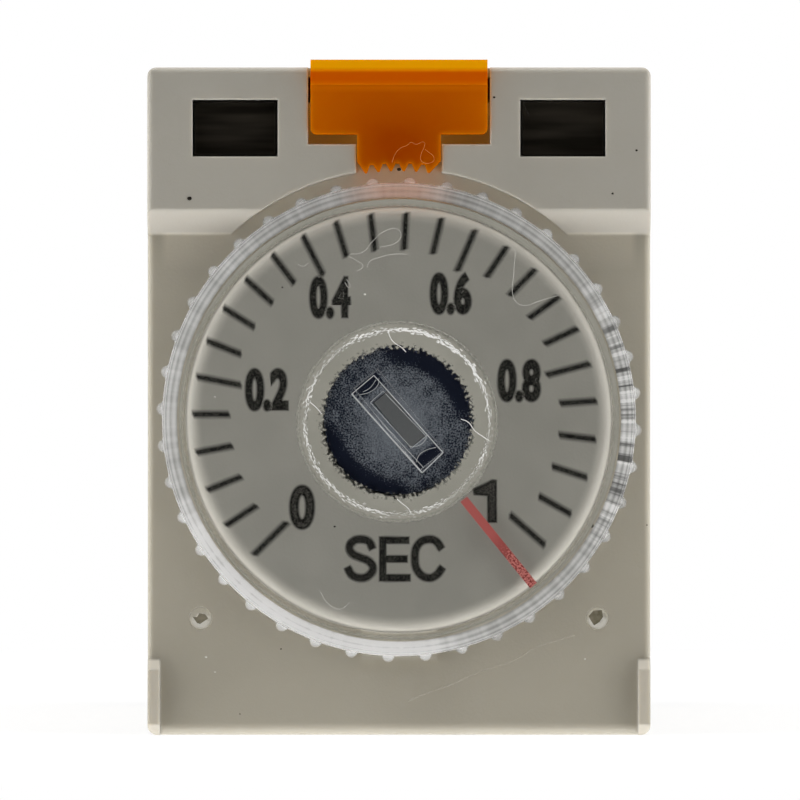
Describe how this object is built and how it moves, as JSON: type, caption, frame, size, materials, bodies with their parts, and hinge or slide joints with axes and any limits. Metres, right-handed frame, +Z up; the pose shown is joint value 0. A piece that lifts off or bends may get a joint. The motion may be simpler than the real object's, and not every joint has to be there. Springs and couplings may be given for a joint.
{
  "type": "timer relay",
  "caption": "Miniature plug-in timer relay with a clear ridged setting dial, a sliding dial lock, smoked lamp windows and blade terminals, round a hinged-armature relay.",
  "frame": {"origin": "centre of the base's rear seating face, midway up the case", "axes": "+X to the right and +Z up as the front is seen; the front faces -Y and the blades point to +Y"},
  "size_m": [0.021, 0.0586, 0.0283],
  "materials": {
    "case_plastic": "fine-grained warm light grey moulding",
    "clear_plastic": "clear, slightly scuffed moulding",
    "orange_plastic": "glossy deep orange moulding",
    "smoked_plastic": "glossy, almost black smoked moulding",
    "base_plastic": "dark grey moulding",
    "bobbin_plastic": "black moulding",
    "blue_plastic": "navy moulding",
    "black_plastic": "black moulded package",
    "film_plastic": "red-brown capacitor box",
    "led_plastic": "diffuse red lamp body",
    "board_laminate": "green lacquered laminate",
    "resistor_ceramic": "dark lacquered ceramic",
    "can_aluminium": "satin drawn can",
    "tinned_metal": "tin-plated",
    "blade_metal": "tin-plated brass strip",
    "magnet_iron": "plated soft iron",
    "spring_bronze": "rolled bronze",
    "spring_steel": "drawn wire",
    "contact_silver": "silver",
    "copper": "enamelled and stranded copper"
  },
  "bodies": {
    "housing": {"base": "base_plastic", "board_pins": "tinned_metal", "bobbin": "bobbin_plastic", "capacitor_seat": "bobbin_plastic", "case": "case_plastic", "chip_resistors": "resistor_ceramic", "coil_pins": "tinned_metal", "coil_winding": "copper", "com_braid_left": "copper", "com_braid_right": "copper", "com_terminal_left": "blade_metal", "com_terminal_right": "blade_metal", "core": "magnet_iron", "driver_transistor": "black_plastic", "dropper_resistor": "resistor_ceramic", "front_board": "board_laminate", "led_legs": "tinned_metal", "nc_contacts": "contact_silver", "nc_terminal_left": "blade_metal", "nc_terminal_right": "blade_metal", "no_contacts": "contact_silver", "no_terminal_left": "blade_metal", "no_terminal_right": "blade_metal", "output_led": "led_plastic", "output_lens": "smoked_plastic", "pot_cover": "tinned_metal", "pot_housing": "bobbin_plastic", "pot_pins": "tinned_metal", "pot_track": "black_plastic", "power_board": "board_laminate", "power_led": "led_plastic", "power_lens": "smoked_plastic", "rectifier": "black_plastic", "rectifier_legs": "tinned_metal", "return_spring": "spring_steel", "scale_plate": "case_plastic", "smoothing_capacitor": "can_aluminium", "supply_terminal_left": "blade_metal", "supply_terminal_right": "blade_metal", "timer_chip": "black_plastic", "timer_chip_legs": "tinned_metal", "timing_capacitor": "film_plastic", "yoke": "magnet_iron"},
    "dial": {"time_dial": "clear_plastic", "pot_rotor": "blue_plastic", "pot_wiper": "spring_bronze"},
    "lever": {"lock_lever": "orange_plastic"},
    "armature": {"armature": "magnet_iron", "contact_carrier": "base_plastic", "moving_spring_left": "spring_bronze", "moving_spring_right": "spring_bronze", "moving_contacts": "contact_silver"}
  },
  "joints": [
    {"name": "dial_turn", "type": "hinge", "parent": "housing", "child": "dial", "pos_m": [0, -0.05, -0.00075], "axis": [0, 1, 0], "range_deg": [-279, 0]},
    {"name": "lock_slide", "type": "slide", "parent": "housing", "child": "lever", "axis": [0, 0, -1], "range_m": [0, 0.00037]},
    {"name": "armature_pivot", "type": "hinge", "parent": "housing", "child": "armature", "pos_m": [0, -0.02605, 0.0022], "axis": [1, 0, 0], "range_deg": [0, 4.5], "stiffness_Nm_per_rad": 0.005, "springref_deg": -11.46, "deforming": ["return_spring", "com_braid_left", "com_braid_right"]}
  ]
}
